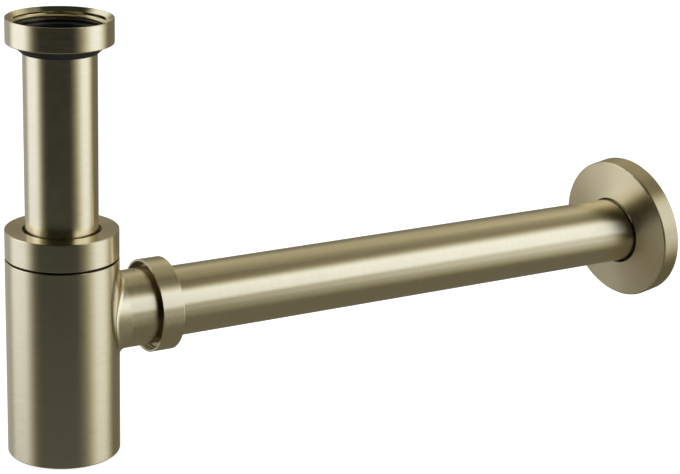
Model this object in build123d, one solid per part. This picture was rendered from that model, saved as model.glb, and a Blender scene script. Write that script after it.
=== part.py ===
from build123d import *
import math
import os

# Sink bottle trap, in millimetres.
# +Z runs up the bottle, +X runs along the outlet pipe to the wall.
# The origin is on the inlet axis, at the lower end of the inlet nut's thread.

# ---- driving dimensions ----
tube_r = 16.0  # inlet tube and outlet pipe, outside
tube_wall = 1.0

# heights above the bottle's underside
seat_h = 191.15  # lower end of the inlet thread
nut_top_h = 196.9
nut_bottom_h = 185.9
cap_top_h = 103.45
cap_bottom_h = 90.97
shoulder_h = 90.03  # top of the bottle's full-width wall
neck_top_h = 95.9
outlet_h = 61.4
dip_end_h = 12.0  # lower end of the inlet tube

# inlet nut
nut_r = 23.2
nut_plate = 1.6
nut_relief_r = 21.4
inlet_thread_r = 20.96
nut_mouth_r = 22.75  # wide end of the 45-degree mouth
tube_hole_gap = 0.4  # nuts to tube, all round

# top of the inlet tube
collar_r = 19.2
collar_t = 1.3
washer_t = 2.0
washer_bore_r = 14.8

# cone under the inlet nut
stop_r = 20.5
stop_h = 3.95
stop_foot_r = 16.5
running_gap = 0.05

# cap
cap_r = 24.95
cap_plate = 2.0
cap_hole_r = 17.2
cap_bore_r = 23.4
slip_t = 1.2
cap_seal_r = 22.4

# bottle
bottle_r = 25.0
bottle_wall = 1.8
bottle_floor = 3.0
bottle_edge = 0.5
bottle_neck_r = 22.7
bottle_mouth_r = 20.2

# outlet neck on the bottle
neck_r = 17.45
neck_fillet = 3.0
thread_collar_r = 19.45
thread_collar_x0 = 42.9
thread_collar_x1 = 46.9
socket_r = 16.2
socket_stop_x = 27.0
waterway_r = 15.0

# outlet nut
onut_r = 21.2
onut_x0 = 39.3
onut_x1 = 49.75
onut_bore_r = 20.0
onut_lip = 1.2

# outlet pipe
pipe_x0 = 30.0
pipe_len = 300.0
lead_r = 15.8  # slightly smaller end that enters the wall drain
lead_x = 316.0

# wall flange, before it leans
flange_r = 35.5
flange_front_x = 307.0
flange_back_x = 316.4
flange_sheet = 1.2
flange_rise = 2.2
flange_hole_r = 17.0
flange_lean = 9.59  # degrees
flange_lean_axis = (0, -0.735808, 0.67719)
flange_pivot_x = 306.6

# rubber ring on the pipe, inside the flange
grip_r = 23.3
grip_x0 = 311.0
grip_x1 = 313.6


# ---- helpers ----
def profile(points):
    """Closed outline from (u, v) or (u, v, radius) corners. A negative radius is a chamfer."""
    n = len(points)
    spots = []
    for i, p in enumerate(points):
        size = p[2] if len(p) > 2 else 0.0
        here = Vector(p[0], p[1])
        if not size:
            spots.append((here, here, None))
            continue
        before = Vector(points[i - 1][0], points[i - 1][1])
        after = Vector(points[(i + 1) % n][0], points[(i + 1) % n][1])
        to_a = (before - here).normalized()
        to_b = (after - here).normalized()
        if size < 0:
            spots.append((here + to_a * -size, here + to_b * -size, None))
            continue
        angle = math.acos(max(-1.0, min(1.0, to_a.dot(to_b))))
        back = size / math.tan(angle / 2)
        centre = here + (to_a + to_b).normalized() * (size / math.sin(angle / 2))
        mid = centre + (here - centre).normalized() * size
        spots.append((here + to_a * back, here + to_b * back, mid))
    edges = []
    for i, (start, end, mid) in enumerate(spots):
        if mid is not None:
            edges.append(ThreePointArc(start, mid, end))
        elif (end - start).length > 1e-6:
            edges.append(Line(start, end))
        following = spots[(i + 1) % n][0]
        if (following - end).length > 1e-6:
            edges.append(Line(end, following))
    return make_face(edges)


def turned(points):
    """Solid turned about Z from (radius, height above the bottle's underside) corners."""
    face = Plane.XZ * profile(points)
    return Pos(0, 0, -seat_h) * revolve(face, Axis.Z)


def turned_x(points):
    """Solid turned about the outlet axis from (radius, x) corners."""
    face = Plane.XZ * profile(points)
    return Pos(0, 0, outlet_h - seat_h) * (Rot(0, 90, 0) * revolve(face, Axis.Z))


# ---- inlet nut ----
plate_top = nut_bottom_h + nut_plate
inlet_nut = turned(
    [
        (tube_r + tube_hole_gap, nut_bottom_h, -0.25),
        (nut_r, nut_bottom_h, 0.5),
        (nut_r, nut_top_h, 0.25),
        (nut_mouth_r, nut_top_h),
        (inlet_thread_r, nut_top_h - (nut_mouth_r - inlet_thread_r)),
        (inlet_thread_r, seat_h),
        (nut_relief_r, seat_h - 0.3),
        (nut_relief_r, plate_top, 0.3),
        (tube_r + tube_hole_gap, plate_top),
    ]
)

# ---- inlet tube with its rolled collar ----
collar_h = plate_top + 0.05
collar_top = collar_h + collar_t
tube_bore_r = tube_r - tube_wall
inlet_tube = turned(
    [
        (tube_bore_r, dip_end_h, -0.3),
        (tube_r, dip_end_h, -0.3),
        (tube_r, collar_h, 0.3),
        (collar_r, collar_h, 0.3),
        (collar_r, collar_top, 0.3),
        (tube_bore_r, collar_top, 0.9),
    ]
)

# ---- flat washer on the collar ----
inlet_washer = turned(
    [
        (washer_bore_r, collar_top, 0.3),
        (collar_r, collar_top, 0.3),
        (collar_r, collar_top + washer_t, 0.3),
        (washer_bore_r, collar_top + washer_t, 0.3),
    ]
)

# ---- conical stop ring under the nut ----
stop_top = nut_bottom_h - 0.05
nut_stop_ring = turned(
    [
        (tube_r + running_gap, stop_top - stop_h),
        (stop_foot_r, stop_top - stop_h, 0.15),
        (stop_r, stop_top - 0.35, 0.2),
        (stop_r, stop_top),
        (tube_r + running_gap, stop_top),
    ]
)

# ---- bottle cap ----
cap_under = cap_top_h - cap_plate
bottle_cap = turned(
    [
        (cap_bore_r, cap_bottom_h, -0.3),
        (cap_r, cap_bottom_h, 0.25),
        (cap_r, cap_top_h, 0.35),
        (cap_hole_r, cap_top_h, 0.3),
        (cap_hole_r, cap_under),
        (cap_bore_r, cap_under, 0.4),
    ]
)

# ---- nylon ring under the cap ----
cap_slip_top = cap_under - 0.1
cap_slip_ring = turned(
    [
        (tube_r + tube_hole_gap, cap_slip_top - slip_t, 0.2),
        (cap_seal_r, cap_slip_top - slip_t, 0.2),
        (cap_seal_r, cap_slip_top, 0.2),
        (tube_r + tube_hole_gap, cap_slip_top, 0.2),
    ]
)

# ---- tapered seal round the inlet tube ----
cap_seal_top = cap_slip_top - slip_t - 0.1
cap_seal = turned(
    [
        (tube_r + running_gap, neck_top_h - 2.4),
        (20.0, neck_top_h - 2.4, 0.3),
        (21.35, neck_top_h + 0.08),
        (cap_seal_r, neck_top_h + 0.08, 0.2),
        (cap_seal_r, cap_seal_top, 0.4),
        (tube_r + running_gap, cap_seal_top),
    ]
)

# ---- bottle with its outlet neck ----
bottle_inner_r = bottle_r - bottle_wall
stem = turned_x(
    [
        (0, 12.0),
        (neck_r, 12.0),
        (neck_r, thread_collar_x0, 0.3),
        (thread_collar_r, thread_collar_x0, -0.4),
        (thread_collar_r, thread_collar_x1, -0.4),
        (0, thread_collar_x1),
    ]
)
outside = Pos(0, 0, -seat_h) * revolve(
    Plane.XZ
    * profile(
        [
            (0, 0),
            (bottle_r, 0, bottle_edge),
            (bottle_r, shoulder_h, 0.25),
            (bottle_neck_r, shoulder_h, 0.2),
            (bottle_neck_r, neck_top_h, -0.3),
            (0, neck_top_h),
        ]
    ),
    Axis.Z,
)
inside = Pos(0, 0, -seat_h) * revolve(
    Plane.XZ
    * profile(
        [
            (0, bottle_floor),
            (bottle_inner_r, bottle_floor, 1.5),
            (bottle_inner_r, shoulder_h - 3.5, 0.5),
            (bottle_mouth_r, shoulder_h - 0.5),
            (bottle_mouth_r, neck_top_h - 2.7),
            (bottle_mouth_r + 1.5, neck_top_h),
            (bottle_mouth_r + 1.5, neck_top_h + 1.0),
            (0, neck_top_h + 1.0),
        ]
    ),
    Axis.Z,
)
bottle = outside + stem
meet = [
    e
    for e in bottle.edges()
    if e.geom_type not in (GeomType.LINE, GeomType.CIRCLE)
    and e.center().X > 5
    and abs(e.center().Z - (outlet_h - seat_h)) < neck_r
]
bottle = fillet(meet, neck_fillet)
waterway = turned_x(
    [
        (0, 5.0),
        (waterway_r, 5.0),
        (waterway_r, socket_stop_x),
        (socket_r, socket_stop_x),
        (socket_r, thread_collar_x1 - 2.5),
        (socket_r + 2.4, thread_collar_x1),
        (socket_r + 2.4, thread_collar_x1 + 2.0),
        (0, thread_collar_x1 + 2.0),
    ]
)
bottle = bottle - inside - waterway

# ---- outlet nut ----
lip_x = onut_x1 - onut_lip
outlet_nut = turned_x(
    [
        (onut_bore_r, onut_x0, -0.25),
        (onut_r, onut_x0, 0.1),
        (onut_r, onut_x1, 0.4),
        (tube_r + tube_hole_gap, onut_x1, 0.3),
        (tube_r + tube_hole_gap, lip_x),
        (onut_bore_r, lip_x, 0.3),
    ]
)

# ---- nylon ring inside the outlet nut ----
oslip_x1 = lip_x - 0.05
oslip_x0 = oslip_x1 - 0.75
outlet_slip_ring = turned_x(
    [
        (tube_r + 0.32, oslip_x0),
        (onut_bore_r - 0.5, oslip_x0, 0.2),
        (onut_bore_r - 0.5, oslip_x1),
        (tube_r + 0.32, oslip_x1),
    ]
)

# ---- tapered seal round the outlet pipe ----
oseal_x1 = oslip_x0 - 0.05
outlet_seal = turned_x(
    [
        (tube_r + running_gap, thread_collar_x1 - 1.8),
        (16.6, thread_collar_x1 - 1.8, 0.15),
        (18.1, thread_collar_x1 + 0.05),
        (18.9, thread_collar_x1 + 0.05, 0.15),
        (18.9, oseal_x1, 0.15),
        (tube_r + running_gap, oseal_x1),
    ]
)

# ---- outlet pipe ----
pipe_x1 = pipe_x0 + pipe_len
outlet_pipe = turned_x(
    [
        (tube_bore_r, pipe_x0),
        (tube_r, pipe_x0, -0.3),
        (tube_r, lead_x - 0.5),
        (lead_r, lead_x),
        (lead_r, pipe_x1, -0.4),
        (tube_bore_r, pipe_x1, -0.2),
    ]
)

# ---- rubber ring that holds the flange on the pipe ----
flange_grip_ring = turned_x(
    [
        (tube_r + running_gap, grip_x0),
        (grip_r, grip_x0, 0.4),
        (grip_r, grip_x1, 0.4),
        (tube_r + running_gap, grip_x1),
    ]
)

# ---- pressed wall flange, leaning on the pipe ----
hole_x = flange_front_x - flange_rise
wall_flange = turned_x(
    [
        (flange_hole_r, hole_x, 0.12),
        (flange_r, flange_front_x, 0.9),
        (flange_r, flange_back_x, 0.15),
        (flange_r - flange_sheet, flange_back_x, 0.15),
        (flange_r - flange_sheet, flange_front_x + flange_sheet, 0.4),
        (flange_hole_r, hole_x + flange_sheet, 0.25),
    ]
)
flange_pivot = (flange_pivot_x, 0, outlet_h - seat_h)
wall_flange = wall_flange.rotate(Axis(flange_pivot, flange_lean_axis), flange_lean)

os.makedirs("parts", exist_ok=True)
export_step(inlet_nut, "parts/inlet_nut.step")
export_step(inlet_washer, "parts/inlet_washer.step")
export_step(inlet_tube, "parts/inlet_tube.step")
export_step(nut_stop_ring, "parts/nut_stop_ring.step")
export_step(bottle_cap, "parts/bottle_cap.step")
export_step(cap_slip_ring, "parts/cap_slip_ring.step")
export_step(cap_seal, "parts/cap_seal.step")
export_step(bottle, "parts/bottle.step")
export_step(outlet_nut, "parts/outlet_nut.step")
export_step(outlet_slip_ring, "parts/outlet_slip_ring.step")
export_step(outlet_seal, "parts/outlet_seal.step")
export_step(outlet_pipe, "parts/outlet_pipe.step")
export_step(flange_grip_ring, "parts/flange_grip_ring.step")
export_step(wall_flange, "parts/wall_flange.step")
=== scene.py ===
import math

import bmesh
import bpy
from mathutils import Matrix, Vector


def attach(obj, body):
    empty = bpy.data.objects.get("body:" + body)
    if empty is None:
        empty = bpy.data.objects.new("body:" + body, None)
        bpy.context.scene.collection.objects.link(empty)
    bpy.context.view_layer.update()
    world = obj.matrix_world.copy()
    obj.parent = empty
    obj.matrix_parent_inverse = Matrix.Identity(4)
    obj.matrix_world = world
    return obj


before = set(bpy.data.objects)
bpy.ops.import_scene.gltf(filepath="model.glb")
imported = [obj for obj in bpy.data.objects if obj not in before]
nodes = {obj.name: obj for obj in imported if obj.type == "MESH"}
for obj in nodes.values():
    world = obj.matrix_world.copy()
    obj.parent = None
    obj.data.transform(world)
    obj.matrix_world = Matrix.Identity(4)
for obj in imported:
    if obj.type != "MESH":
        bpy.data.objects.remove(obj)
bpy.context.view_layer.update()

MM = 0.001

# ---------------------------------------------------------------- measurements
SEAT = 191.15  # height of the row's origin above the bottle's underside, mm
OUTLET_Z = (61.4 - SEAT) * MM  # height of the outlet axis
FLOOR_Z = -SEAT * MM
# the leaning flange's own axis
FLANGE_AT = (306.6 * MM, 0.0, OUTLET_Z)
FLANGE_N = (0.986025, 0.112818, 0.122583)


# ---------------------------------------------------------------- node helpers
class Graph:
    """Short hand for building a node tree."""

    def __init__(self, tree):
        self.tree = tree
        self.n = tree.nodes
        self.l = tree.links

    def node(self, kind, **settings):
        made = self.n.new(kind)
        for k, v in settings.items():
            setattr(made, k, v)
        return made

    def feed(self, socket, value):
        if isinstance(value, bpy.types.NodeSocket):
            self.l.new(value, socket)
        else:
            socket.default_value = value

    def math(self, op, a, b=None, c=None, clamp=False):
        made = self.node("ShaderNodeMath", operation=op, use_clamp=clamp)
        for i, v in enumerate((a, b, c)):
            if v is not None:
                self.feed(made.inputs[i], v)
        return made.outputs[0]

    def vec(self, op, a, b=None, scale=None):
        made = self.node("ShaderNodeVectorMath", operation=op)
        self.feed(made.inputs[0], a)
        if b is not None:
            self.feed(made.inputs[1], b)
        if scale is not None:
            self.feed(made.inputs["Scale"], scale)
        return made.outputs["Value"] if op in ("LENGTH", "DOT_PRODUCT") else made.outputs[0]

    def combine(self, x, y, z):
        made = self.node("ShaderNodeCombineXYZ")
        for i, v in enumerate((x, y, z)):
            self.feed(made.inputs[i], v)
        return made.outputs[0]

    def split(self, v):
        made = self.node("ShaderNodeSeparateXYZ")
        self.feed(made.inputs[0], v)
        return made.outputs

    def ramp(self, value, low, high, out_low=0.0, out_high=1.0, smooth=True):
        made = self.node("ShaderNodeMapRange")
        made.interpolation_type = "SMOOTHSTEP" if smooth else "LINEAR"
        for i, v in enumerate((value, low, high, out_low, out_high)):
            self.feed(made.inputs[i], v)
        return made.outputs[0]

    def noise(self, vector, scale, detail=2.0, roughness=0.5, w=None):
        made = self.node("ShaderNodeTexNoise")
        if w is not None:
            made.noise_dimensions = "4D"
            self.feed(made.inputs["W"], w)
        self.feed(made.inputs["Vector"], vector)
        self.feed(made.inputs["Scale"], scale)
        self.feed(made.inputs["Detail"], detail)
        self.feed(made.inputs["Roughness"], roughness)
        return made.outputs[0]

    def mix(self, factor, a, b):
        made = self.node("ShaderNodeMix", data_type="RGBA")
        self.feed(made.inputs["Factor"], factor)
        self.feed(made.inputs[6], a)
        self.feed(made.inputs[7], b)
        return made.outputs[2]


def new_material(name):
    m = bpy.data.materials.new(name)
    m.use_nodes = True
    m.node_tree.nodes.clear()
    g = Graph(m.node_tree)
    out = g.node("ShaderNodeOutputMaterial")
    shader = g.node("ShaderNodeBsdfPrincipled")
    g.l.new(shader.outputs[0], out.inputs["Surface"])
    return m, g, shader


def around(g, axis):
    """Radius, height along the axis, cosine and sine of the angle, and the tangent round the axis."""
    p = g.node("ShaderNodeTexCoord").outputs["Object"]
    if axis == "Z":
        at, n, e1 = Vector((0, 0, 0)), Vector((0, 0, 1)), Vector((1, 0, 0))
    elif axis == "X":
        at, n, e1 = Vector((0, 0, OUTLET_Z)), Vector((1, 0, 0)), Vector((0, 1, 0))
    else:
        at, n = Vector(FLANGE_AT), Vector(FLANGE_N).normalized()
        e1 = Vector((0, 0, 1)).cross(n).normalized()
    e2 = n.cross(e1)
    q = g.vec("SUBTRACT", p, tuple(at))
    u, v, h = (g.vec("DOT_PRODUCT", q, tuple(e)) for e in (e1, e2, n))
    rho = g.math("SQRT", g.math("ADD", g.math("MULTIPLY", u, u), g.math("MULTIPLY", v, v)))
    safe = g.math("MAXIMUM", rho, 1e-5)
    c, s = g.math("DIVIDE", u, safe), g.math("DIVIDE", v, safe)
    t = g.vec("SUBTRACT", g.vec("SCALE", tuple(e2), scale=c), g.vec("SCALE", tuple(e1), scale=s))
    turn = g.node(
        "ShaderNodeVectorTransform", vector_type="VECTOR", convert_from="OBJECT", convert_to="WORLD"
    )
    g.feed(turn.inputs[0], t)
    return p, rho, h, c, s, turn.outputs[0]


def brushed_brass(name, axis, colour, dark, rough, spread, aniso, relief, neck=False, painted_shade=None, shade_flange_back=False, mouth=None):
    """Pale brass brushed round its axis: hair lines, broader bands, faint clouds.

    With neck, the brushing turns to the outlet's axis beyond the cup's wall, and the painted shade
    counts only above the cup's shoulder.
    The painted-shade argument gives two radii in mm and a shade factor: inside the first, shade is
    painted into the metal's colour and the metal is made a little rougher.
    With the flange-back shade on, shade is also painted on the back of the flange's sheet.
    mouth gives two radii in mm: inside the first the metal is turned smooth, not brushed.
    """
    m, g, b = new_material(name)
    p, rho, h, c, s, tangent = around(g, axis)
    # painted shade: mask of the metal inside the first painted-shade radius, where the colour is darkened to stand
    # for shade
    edge = g.ramp(rho, painted_shade[0] * MM, painted_shade[1] * MM, 1.0, 0.0) if painted_shade else None
    if shade_flange_back:
        # painted shade also behind the middle of the shallow cone's sheet, and inside the middle of the rim
        behind = g.math("SUBTRACT", h, g.math("MULTIPLY_ADD", rho, 2.2 / 18.5, -0.0012 - 0.017 * 2.2 / 18.5))
        behind = g.math("MULTIPLY", g.ramp(behind, -0.0002, 0.0002), g.ramp(rho, 0.0348, 0.0350, 1.0, 0.0))
        edge = g.math("MAXIMUM", edge, behind)
    if neck:
        # on the cup the painted shade stays above its shoulder
        edge = g.math("MULTIPLY", edge, g.ramp(h, -0.1018, -0.1014))
        past = g.ramp(g.split(p)[0], 0.0252, 0.0262)
        other = around(g, "X")

        def turned(a, b):
            return g.math("MULTIPLY_ADD", g.math("SUBTRACT", b, a), past, a)

        rho, h, c, s = (turned(a, b) for a, b in zip((rho, h, c, s), other[1:5]))
        tangent = g.vec("ADD", tangent, g.vec("SCALE", g.vec("SUBTRACT", other[5], tangent), scale=past))
    # hair lines: long round the axis, fine across it
    fine = g.noise(
        g.combine(g.math("MULTIPLY", rho, 5200.0), g.math("MULTIPLY", h, 5200.0), g.math("MULTIPLY", c, 5.0)),
        1.0,
        detail=2.0,
        w=g.math("MULTIPLY", s, 5.0),
    )
    broad = g.noise(
        g.combine(g.math("MULTIPLY", rho, 900.0), g.math("MULTIPLY", h, 900.0), g.math("MULTIPLY", c, 2.2)),
        1.0,
        detail=3.0,
        w=g.math("MULTIPLY", s, 2.2),
    )
    cloud = g.noise(p, 42.0, detail=4.0, roughness=0.6)
    tone = g.math(
        "ADD",
        g.math("MULTIPLY", fine, 0.55),
        g.math("ADD", g.math("MULTIPLY", broad, 0.25), g.math("MULTIPLY", cloud, 0.20)),
    )
    paint = g.mix(g.ramp(tone, 0.30, 0.70), (*dark, 1), (*colour, 1))
    gloss = g.math(
        "ADD",
        g.ramp(fine, 0.3, 0.7, rough - spread, rough + spread),
        g.ramp(cloud, 0.35, 0.7, -0.4 * spread, 0.4 * spread),
    )
    if mouth:
        gloss = g.math("MULTIPLY_ADD", g.ramp(rho, mouth[0] * MM, mouth[1] * MM, 1.0, 0.0), -0.11, gloss)
    # painted shade: inside the mask the colour is darkened by the shade factor; the roughness is also raised there
    if painted_shade:
        shaded_paint = g.vec("MULTIPLY", paint, (painted_shade[2], painted_shade[2] * 0.93, painted_shade[2] * 0.80))
        paint = g.mix(edge, paint, shaded_paint)
        gloss = g.math("MULTIPLY_ADD", edge, 0.12, gloss)
    g.feed(b.inputs["Base Color"], paint)
    g.feed(b.inputs["Roughness"], gloss)
    b.inputs["Metallic"].default_value = 1.0
    # the brushing runs round the axis, so the gloss spreads across it
    b.inputs["Anisotropic"].default_value = aniso
    b.inputs["Anisotropic Rotation"].default_value = 0.25
    g.feed(b.inputs["Tangent"], tangent)
    bump = g.node("ShaderNodeBump")
    bump.inputs["Strength"].default_value = relief
    bump.inputs["Distance"].default_value = 0.00002
    g.feed(bump.inputs["Height"], g.math("ADD", fine, g.math("MULTIPLY", broad, 0.3)))
    g.l.new(bump.outputs[0], b.inputs["Normal"])
    return m


def moulded(name, colour, second, rough, grain, relief, specular, sheen=0.0):
    """Moulded rubber or plastic: a fine matte grain with faint uneven colour."""
    m, g, b = new_material(name)
    p = g.node("ShaderNodeTexCoord").outputs["Object"]
    fine = g.noise(p, grain, detail=3.0, roughness=0.55)
    cloud = g.noise(p, 130.0, detail=4.0, roughness=0.6)
    g.feed(b.inputs["Base Color"], g.mix(g.ramp(cloud, 0.3, 0.7), (*colour, 1), (*second, 1)))
    g.feed(b.inputs["Roughness"], g.ramp(fine, 0.3, 0.7, rough - 0.07, rough + 0.07))
    b.inputs["Specular IOR Level"].default_value = specular
    if sheen:
        b.inputs["Sheen Weight"].default_value = sheen
        b.inputs["Sheen Roughness"].default_value = 0.5
    bump = g.node("ShaderNodeBump")
    bump.inputs["Strength"].default_value = relief
    bump.inputs["Distance"].default_value = 0.00005
    g.feed(bump.inputs["Height"], fine)
    g.l.new(bump.outputs[0], b.inputs["Normal"])
    return m


PALE = (0.80, 0.71, 0.50)
DEEP = (0.73, 0.64, 0.43)
brass_z = brushed_brass("brushed_brass_upright", "Z", PALE, DEEP, 0.22, 0.03, 0.86, 0.05)
brass_inlet = brushed_brass("brushed_brass_inlet", "Z", PALE, DEEP, 0.21, 0.03, 0.84, 0.05, mouth=(22.75, 22.9))
# the cup's neck above its shoulder, in the joint under the cap, gets painted shade
brass_cup = brushed_brass("brushed_brass_cup", "Z", PALE, DEEP, 0.235, 0.03, 0.86, 0.05, neck=True, painted_shade=(24.3, 24.75, 0.24))
brass_x = brushed_brass("brushed_brass_pipe", "X", PALE, DEEP, 0.23, 0.03, 0.86, 0.05)
# the inside of the outlet nut, round its thread, gets painted shade
brass_union = brushed_brass("brushed_brass_union", "X", PALE, DEEP, 0.23, 0.03, 0.86, 0.05, painted_shade=(20.05, 20.5, 0.55))
# the flange's hole edge and the back of its sheet get painted shade
brass_flange = brushed_brass(
    "brushed_brass_flange", "flange", (0.68, 0.58, 0.36), (0.62, 0.52, 0.31), 0.32, 0.03, 0.90, 0.03, painted_shade=(17.1, 17.5, 0.25), shade_flange_back=True
)
rubber = moulded("black_rubber", (0.005, 0.0055, 0.0065), (0.010, 0.011, 0.013), 0.55, 2600.0, 0.20, 0.30)
nylon = moulded("black_nylon", (0.012, 0.012, 0.013), (0.020, 0.020, 0.022), 0.42, 2000.0, 0.12, 0.4)

looks = {
    "inlet_nut": brass_inlet,
    "inlet_tube": brass_z,
    "bottle_cap": brass_z,
    "bottle": brass_cup,
    "outlet_nut": brass_union,
    "outlet_pipe": brass_x,
    "wall_flange": brass_flange,
    "inlet_washer": rubber,
    "nut_stop_ring": rubber,
    "cap_seal": rubber,
    "outlet_seal": rubber,
    "flange_grip_ring": rubber,
    "cap_slip_ring": nylon,
    "outlet_slip_ring": nylon,
}
for name, look in looks.items():
    data = nodes[name].data
    data.materials.clear()
    data.materials.append(look)


# ---------------------------------------------------------------- screw threads
def thread(name, body, material, root, crest, pitch, start, end, foot, top, phase=0.0, axis="Z", sides=120):
    """Right-hand helical ridge from radius root to radius crest, run out at both ends. Lengths in mm.

    start and end are heights above the bottle's underside, or x along the outlet axis.
    foot and top are the ridge's widths at its root and crest.
    """
    into = 0.04 if crest > root else -0.04
    turns = (end - start) / pitch
    steps = int(round(turns * sides))
    bm = bmesh.new()
    rings = []
    for i in range(steps + 1):
        part = i / steps
        angle = 2 * math.pi * turns * part + phase
        along = start + (end - start) * part
        fade = min(1.0, part * turns / 0.22, (1 - part) * turns / 0.22)
        fade = fade * fade * (3 - 2 * fade)
        tip = root + (crest - root) * max(0.02, fade)
        cross = [
            (root - into, -foot / 2),
            (root, -foot / 2),
            (root + 0.82 * (tip - root), -top * 0.72),
            (tip, -top * 0.32),
            (tip, top * 0.32),
            (root + 0.82 * (tip - root), top * 0.72),
            (root, foot / 2),
            (root - into, foot / 2),
        ]
        ring = []
        for r, w in cross:
            u, v, h = r * math.cos(angle) * MM, r * math.sin(angle) * MM, (along + w) * MM
            if axis == "Z":
                ring.append(bm.verts.new((u, v, h - SEAT * MM)))
            else:
                ring.append(bm.verts.new((h, u, v + OUTLET_Z)))
        rings.append(ring)
    n = len(rings[0])
    for a, b in zip(rings, rings[1:]):
        for k in range(n):
            bm.faces.new((a[k], a[(k + 1) % n], b[(k + 1) % n], b[k]))
    bm.faces.new(rings[0])
    bm.faces.new(list(reversed(rings[-1])))
    bmesh.ops.recalc_face_normals(bm, faces=bm.faces)
    mesh = bpy.data.meshes.new(name)
    bm.to_mesh(mesh)
    bm.free()
    for f in mesh.polygons:
        f.use_smooth = True
    mesh.set_sharp_from_angle(angle=math.radians(40))
    mesh.materials.append(material)
    obj = bpy.data.objects.new(name, mesh)
    bpy.context.scene.collection.objects.link(obj)
    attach(obj, body)
    return obj


thread("inlet_nut_thread", "inlet_nut", brass_inlet, 20.96, 19.5, 2.309, 192.20, 194.10, 1.9, 0.5, phase=-1.553)
thread("bottle_neck_thread", "bottle", brass_cup, 22.7, 23.2, 1.5, 91.45, 94.95, 1.0, 0.3)
thread("cap_thread", "cap", brass_z, 23.4, 22.9, 1.5, 92.20, 98.95, 1.0, 0.3)
thread("outlet_collar_thread", "bottle", brass_x, 19.45, 19.85, 1.5, 43.85, 46.05, 0.9, 0.25, axis="X")
thread("outlet_nut_thread", "outlet_nut", brass_union, 20.0, 19.6, 1.5, 41.60, 46.95, 0.9, 0.25, axis="X")


# ---------------------------------------------------------------- studio
scene = bpy.context.scene
bpy.ops.mesh.primitive_plane_add(size=14.0, location=(0.1, 0.0, FLOOR_Z - 0.0002))
floor = bpy.context.object
floor.name = "floor"
fm, fg, fb = new_material("pale_floor")
fp = fg.node("ShaderNodeTexCoord").outputs["Object"]
fg.feed(
    fb.inputs["Base Color"],
    fg.mix(fg.ramp(fg.noise(fp, 6.0, detail=3.0), 0.3, 0.7), (0.80, 0.80, 0.80, 1), (0.82, 0.82, 0.82, 1)),
)
fb.inputs["Roughness"].default_value = 0.9
fb.inputs["Emission Color"].default_value = (1, 1, 1, 1)
fb.inputs["Emission Strength"].default_value = 0.72
floor.data.materials.append(fm)
floor.visible_glossy = False
floor.visible_shadow = False

# soft studio surround: wide side boxes, a dim ceiling, a dark front
CAM_AZ = math.radians(-121.21)
world = bpy.data.worlds.new("studio")
scene.world = world
world.use_nodes = True
world.node_tree.nodes.clear()
w = Graph(world.node_tree)
w_out = w.node("ShaderNodeOutputWorld")
direction = w.node("ShaderNodeTexCoord").outputs["Generated"]
direction = w.vec("NORMALIZE", direction)


level = w.split(direction)[2]
rise = w.math("ARCSINE", level)


def soft_box(offset_deg, half_wide, soft_wide, low, soft_low, high, soft_high):
    """Mask of a soft patch of the surround, by its bearing and height in degrees."""
    a, r = CAM_AZ + math.radians(offset_deg), math.radians
    x = w.vec("DOT_PRODUCT", direction, (-math.sin(a), math.cos(a), 0.0))
    z = w.vec("DOT_PRODUCT", direction, (math.cos(a), math.sin(a), 0.0))
    aside = w.math("ABSOLUTE", w.math("ARCTAN2", x, z))
    mx = w.ramp(aside, r(half_wide - soft_wide), r(half_wide + soft_wide), 1.0, 0.0)
    my = w.ramp(rise, r(low - soft_low), r(low + soft_low))
    mz = w.ramp(rise, r(high - soft_high), r(high + soft_high), 1.0, 0.0)
    return w.math("MULTIPLY", mx, w.math("MULTIPLY", my, mz))


def shine(mask, colour):
    return w.vec("SCALE", colour, scale=mask)


base = w.mix(w.ramp(level, -0.6, 0.85), (0.165, 0.155, 0.122, 1), (0.27, 0.257, 0.197, 1))
# the dark room in front, up over the camera
base = w.mix(soft_box(0, 44, 16, -46, 16, -14, 8), base, (0.185, 0.20, 0.195, 1))
base = w.mix(soft_box(0, 46, 13, -24, 7, 84, 8), base, (0.018, 0.0175, 0.0145, 1))
base = w.mix(soft_box(-35, 108, 14, 55, 6, 97, 3), base, (0.030, 0.0295, 0.025, 1))
base = w.mix(soft_box(30, 72, 12, 64, 5, 97, 3), base, (0.030, 0.0295, 0.025, 1))
# pale wall behind, high up
base = w.vec("ADD", base, shine(soft_box(178, 42, 15, 29, 10, 54, 10), (0.27, 0.257, 0.215)))


def lamp(mask, core, edge):
    """Soft box that is cool in its middle and warm where it fades."""
    return w.vec("SCALE", w.mix(mask, (*edge, 1), (*core, 1)), scale=mask)


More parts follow.
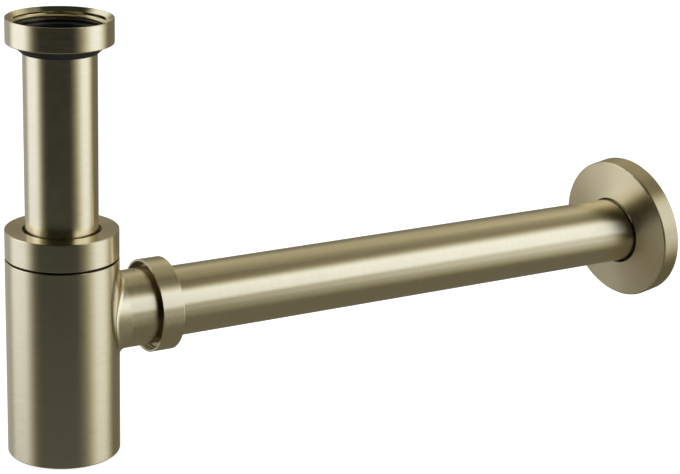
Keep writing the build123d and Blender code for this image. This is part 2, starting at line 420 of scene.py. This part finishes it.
right_high = w.math("MULTIPLY", soft_box(77, 28, 10, 2, 7, 44, 9), 0.98)
right_mid = soft_box(88.5, 23.5, 18, -17, 6, 20, 10)
right_low = soft_box(91, 22, 17, -25, 16, -11, 6)
right_back = w.math("MULTIPLY", soft_box(134, 22, 12, 28, 10, 50, 8), 0.30)
right_box = w.math("MAXIMUM", w.math("MAXIMUM", right_high, right_back), w.math("MAXIMUM", right_mid, right_low))
left_high = soft_box(-83, 17, 10, -8, 8, 44, 8)
left_low = soft_box(-89, 28, 15, -22.4, 12, -5, 5)
left_wide = w.math("MULTIPLY", soft_box(-136, 27, 12, -31, 11, -2, 6), 0.23)
left_back = w.math("MULTIPLY", soft_box(-118, 25, 14, 11, 11, 50, 8), 0.67)
left_box = w.math("MAXIMUM", w.math("MAXIMUM", left_high, left_low), w.math("MAXIMUM", left_wide, left_back))
total = w.vec("ADD", base, lamp(right_box, (1.06, 1.20, 1.53), (1.16, 1.10, 0.74)))
total = w.vec("ADD", total, lamp(left_box, (1.14, 1.26, 1.62), (1.12, 1.18, 1.18)))
backing = w.node("ShaderNodeBackground")
w.feed(backing.inputs["Color"], total)
backing.inputs["Strength"].default_value = 1.0
w.l.new(backing.outputs[0], w_out.inputs["Surface"])


def area(name, place, target, size, power, colour):
    light = bpy.data.lights.new(name, "AREA")
    light.shape = "RECTANGLE"
    light.size, light.size_y = size
    light.energy = power
    light.color = colour
    obj = bpy.data.objects.new(name, light)
    obj.location = place
    obj.rotation_mode = "QUATERNION"
    obj.rotation_quaternion = (Vector(target) - Vector(place)).to_track_quat("-Z", "Y")
    obj.visible_glossy = False
    scene.collection.objects.link(obj)
    return obj


area("ceiling_box", (0.1, -0.1, 1.4), (0.12, 0, -0.1), (1.8, 1.8), 9.0, (1.0, 0.99, 0.97))

# ---------------------------------------------------------------- camera
az, el, roll = -0.5447651, 0.3090860, 0.0312390
back = Vector((math.sin(az) * math.cos(el), -math.cos(az) * math.cos(el), math.sin(el)))
right = Vector((math.cos(az), math.sin(az), 0.0))
up = back.cross(right)
r2 = right * math.cos(roll) + up * math.sin(roll)
u2 = up * math.cos(roll) - right * math.sin(roll)
place = Vector((-0.346063, -0.804999, 0.380349 - SEAT * MM))
cam_data = bpy.data.cameras.new("camera")
cam = bpy.data.objects.new("camera", cam_data)
scene.collection.objects.link(cam)
cam.matrix_world = Matrix(
    (
        (r2.x, u2.x, back.x, place.x),
        (r2.y, u2.y, back.y, place.y),
        (r2.z, u2.z, back.z, place.z),
        (0, 0, 0, 1),
    )
)
cam_data.sensor_fit = "HORIZONTAL"
cam_data.sensor_width = 36.0
cam_data.lens = 2090.949 / 680.0 * 36.0
cam_data.clip_start = 0.01
cam_data.clip_end = 60.0
scene.camera = cam

scene.view_settings.view_transform = "Standard"
scene.view_settings.look = "None"
scene.view_settings.exposure = 0.0
scene.view_settings.gamma = 1.0

bpy.context.view_layer.update()
